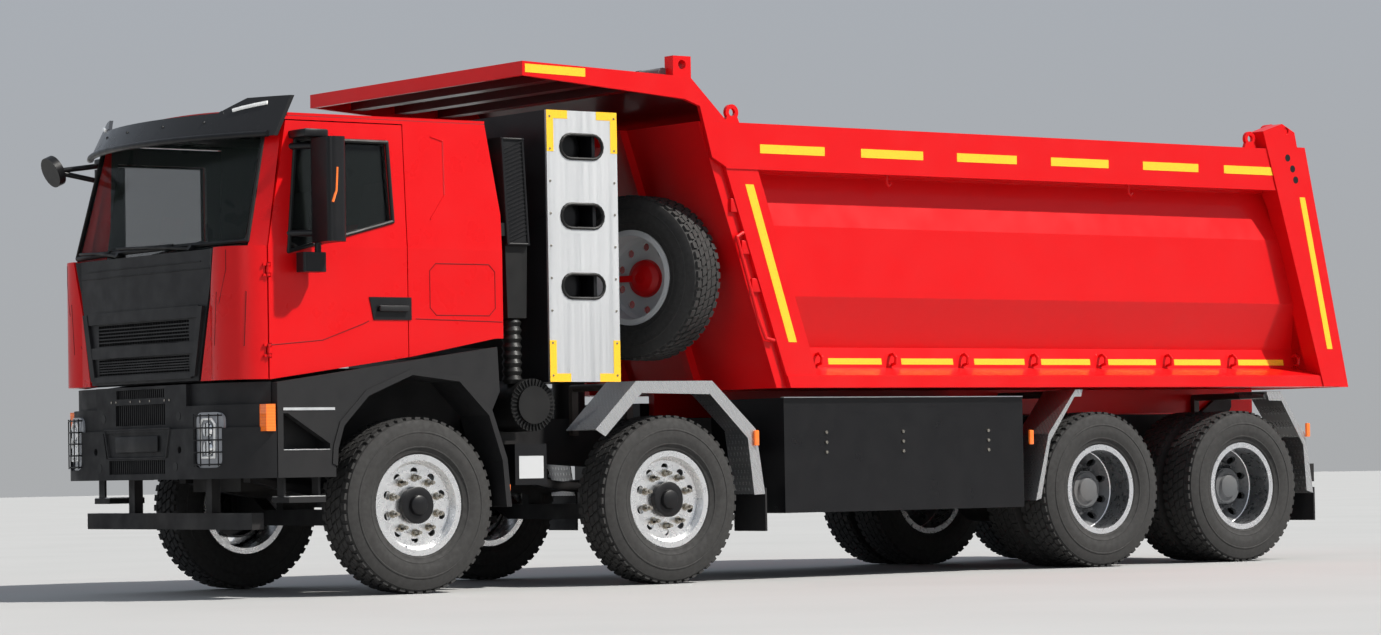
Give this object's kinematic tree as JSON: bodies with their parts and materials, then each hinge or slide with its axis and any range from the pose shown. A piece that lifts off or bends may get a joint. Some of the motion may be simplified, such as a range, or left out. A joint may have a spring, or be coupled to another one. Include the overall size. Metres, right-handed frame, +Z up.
{
  "type": "tipper truck",
  "caption": "Cab-over tipper truck with a slant-sided steel bed, steered tandem front axles, twin rear wheels, opening doors, grille lid and tailgate, and a telescopic front hoist.",
  "frame": {"origin": "on the ground under the middle of the truck's bounding box", "axes": "+X is the truck's left side, the front faces -Y, +Z is up"},
  "size_m": [2.92, 9.3614, 3.39],
  "materials": {
    "cab_red": "gloss red paint",
    "bed_red": "satin red paint",
    "chassis_black": "satin black paint",
    "black_plastic": "grained black",
    "alloy": "brushed",
    "rim_steel": "silver paint",
    "tyre": "matte",
    "glazing": "clear",
    "lamp_lens": "clear lens",
    "inner_trim": "grained",
    "hoist_steel": "polished",
    "rack_dark": "satin black paint"
  },
  "bodies": {
    "chassis": {"frame": "chassis_black", "axles": "chassis_black", "springs": "chassis_black", "driveline": "chassis_black", "underrun_bars": "chassis_black", "bumper": "black_plastic", "lamps": "lamp_lens", "cab_floor": "inner_trim", "cab_interior": "inner_trim", "cab_walls": "cab_red", "cab_roof": "cab_red", "windscreen": "glazing", "sun_visor": "black_plastic", "corner_panels": "cab_red", "front_mirror": "black_plastic", "fenders_and_flaps": "black_plastic", "plate_fenders": "alloy", "gas_rack": "rack_dark", "rack_plates": "alloy", "air_intake": "black_plastic", "side_boxes": "chassis_black"},
    "front_lid": {"front_panel": "black_plastic"},
    "bed": {"bed_floor": "bed_red", "bed_sides": "bed_red", "headboard": "bed_red", "canopy": "bed_red", "spare_tyre": "tyre", "spare_rim": "rim_steel"},
    "gate": {"tailgate": "bed_red"},
    "hoist_base": {"hoist_barrel": "chassis_black"},
    "hoist_first": {"hoist_stage_1": "hoist_steel"},
    "hoist_second": {"hoist_stage_2": "hoist_steel"},
    "hoist_third": {"hoist_stage_3": "hoist_steel"},
    "knuckle_body_1_left": {"knuckle_1_left": "chassis_black"},
    "wheel_1_left": {"tyre_1_left": "tyre", "rim_1_left": "alloy"},
    "knuckle_body_1_right": {"knuckle_1_right": "chassis_black"},
    "wheel_1_right": {"tyre_1_right": "tyre", "rim_1_right": "alloy"},
    "knuckle_body_2_left": {"knuckle_2_left": "chassis_black"},
    "wheel_2_left": {"tyre_2_left": "tyre", "rim_2_left": "alloy"},
    "knuckle_body_2_right": {"knuckle_2_right": "chassis_black"},
    "wheel_2_right": {"tyre_2_right": "tyre", "rim_2_right": "alloy"},
    "wheels_3_left": {"tyres_3_left": "tyre", "rims_3_left": "rim_steel"},
    "wheels_3_right": {"tyres_3_right": "tyre", "rims_3_right": "rim_steel"},
    "wheels_4_left": {"tyres_4_left": "tyre", "rims_4_left": "rim_steel"},
    "wheels_4_right": {"tyres_4_right": "tyre", "rims_4_right": "rim_steel"},
    "left_door": {"door_left": "cab_red", "window_left": "glazing", "mirror_left": "black_plastic"},
    "right_door": {"door_right": "cab_red", "window_right": "glazing", "mirror_right": "black_plastic"}
  },
  "joints": [
    {"name": "steer_1_left", "type": "hinge", "parent": "chassis", "child": "knuckle_body_1_left", "pos_m": [0.925, -3.38, 0.54], "axis": [0, 0, 1], "range_deg": [-35, 35]},
    {"name": "spin_1_left", "type": "hinge", "parent": "knuckle_body_1_left", "child": "wheel_1_left", "pos_m": [1.025, -3.38, 0.54], "axis": [1, 0, 0], "continuous": true},
    {"name": "steer_1_right", "type": "hinge", "parent": "chassis", "child": "knuckle_body_1_right", "pos_m": [-0.925, -3.38, 0.54], "axis": [0, 0, 1], "range_deg": [-35, 35]},
    {"name": "spin_1_right", "type": "hinge", "parent": "knuckle_body_1_right", "child": "wheel_1_right", "pos_m": [-1.025, -3.38, 0.54], "axis": [1, 0, 0], "continuous": true},
    {"name": "steer_2_left", "type": "hinge", "parent": "chassis", "child": "knuckle_body_2_left", "pos_m": [0.925, -1.47, 0.54], "axis": [0, 0, 1], "range_deg": [-24.5, 24.5]},
    {"name": "spin_2_left", "type": "hinge", "parent": "knuckle_body_2_left", "child": "wheel_2_left", "pos_m": [1.025, -1.47, 0.54], "axis": [1, 0, 0], "continuous": true},
    {"name": "steer_2_right", "type": "hinge", "parent": "chassis", "child": "knuckle_body_2_right", "pos_m": [-0.925, -1.47, 0.54], "axis": [0, 0, 1], "range_deg": [-24.5, 24.5]},
    {"name": "spin_2_right", "type": "hinge", "parent": "knuckle_body_2_right", "child": "wheel_2_right", "pos_m": [-1.025, -1.47, 0.54], "axis": [1, 0, 0], "continuous": true},
    {"name": "spin_3_left", "type": "hinge", "parent": "chassis", "child": "wheels_3_left", "pos_m": [0.91, 2.225, 0.54], "axis": [1, 0, 0], "continuous": true},
    {"name": "spin_3_right", "type": "hinge", "parent": "chassis", "child": "wheels_3_right", "pos_m": [-0.91, 2.225, 0.54], "axis": [1, 0, 0], "continuous": true},
    {"name": "spin_4_left", "type": "hinge", "parent": "chassis", "child": "wheels_4_left", "pos_m": [0.91, 3.6, 0.54], "axis": [1, 0, 0], "continuous": true},
    {"name": "spin_4_right", "type": "hinge", "parent": "chassis", "child": "wheels_4_right", "pos_m": [-0.91, 3.6, 0.54], "axis": [1, 0, 0], "continuous": true},
    {"name": "door_left_hinge", "type": "hinge", "parent": "chassis", "child": "left_door", "pos_m": [1.152, -4.4235, 1.72], "axis": [0, 0, -1], "range_deg": [0, 70]},
    {"name": "door_right_hinge", "type": "hinge", "parent": "chassis", "child": "right_door", "pos_m": [-1.152, -4.4235, 1.72], "axis": [0, 0, 1], "range_deg": [0, 70]},
    {"name": "front_lid_hinge", "type": "hinge", "parent": "chassis", "child": "front_lid", "pos_m": [0, -4.618, 2.09], "axis": [-1, 0, 0], "range_deg": [0, 80]},
    {"name": "bed_tip", "type": "hinge", "parent": "chassis", "child": "bed", "pos_m": [0, 4.22, 1.15], "axis": [-1, 0, 0], "range_deg": [0, 48]},
    {"name": "gate_swing", "type": "hinge", "parent": "bed", "child": "gate", "pos_m": [0, 4.082, 3.1], "axis": [1, 0, 0], "range_deg": [0, 65]},
    {"name": "hoist_lean", "type": "hinge", "parent": "chassis", "child": "hoist_base", "pos_m": [0, -1.43, 1.06], "axis": [-1, 0, 0], "range_deg": [0, 30.28]},
    {"name": "hoist_extend_1", "type": "slide", "parent": "hoist_base", "child": "hoist_first", "axis": [0, 0, 1], "range_m": [0, 1.4904]},
    {"name": "hoist_extend_2", "type": "slide", "parent": "hoist_first", "child": "hoist_second", "axis": [0, 0, 1], "range_m": [0, 1.4904]},
    {"name": "hoist_extend_3", "type": "slide", "parent": "hoist_second", "child": "hoist_third", "axis": [0, 0, 1], "range_m": [0, 1.4904]}
  ],
  "couplings": [
    {"joint": "steer_1_right", "follows": "steer_1_left", "ratio": 1},
    {"joint": "steer_2_left", "follows": "steer_1_left", "ratio": 0.7},
    {"joint": "steer_2_right", "follows": "steer_1_left", "ratio": 0.7},
    {"joint": "hoist_lean", "follows": "bed_tip", "ratio": 0.63078},
    {"joint": "hoist_extend_1", "follows": "bed_tip", "m_per_rad": 1.7789},
    {"joint": "hoist_extend_2", "follows": "bed_tip", "m_per_rad": 1.7789},
    {"joint": "hoist_extend_3", "follows": "bed_tip", "m_per_rad": 1.7789}
  ]
}
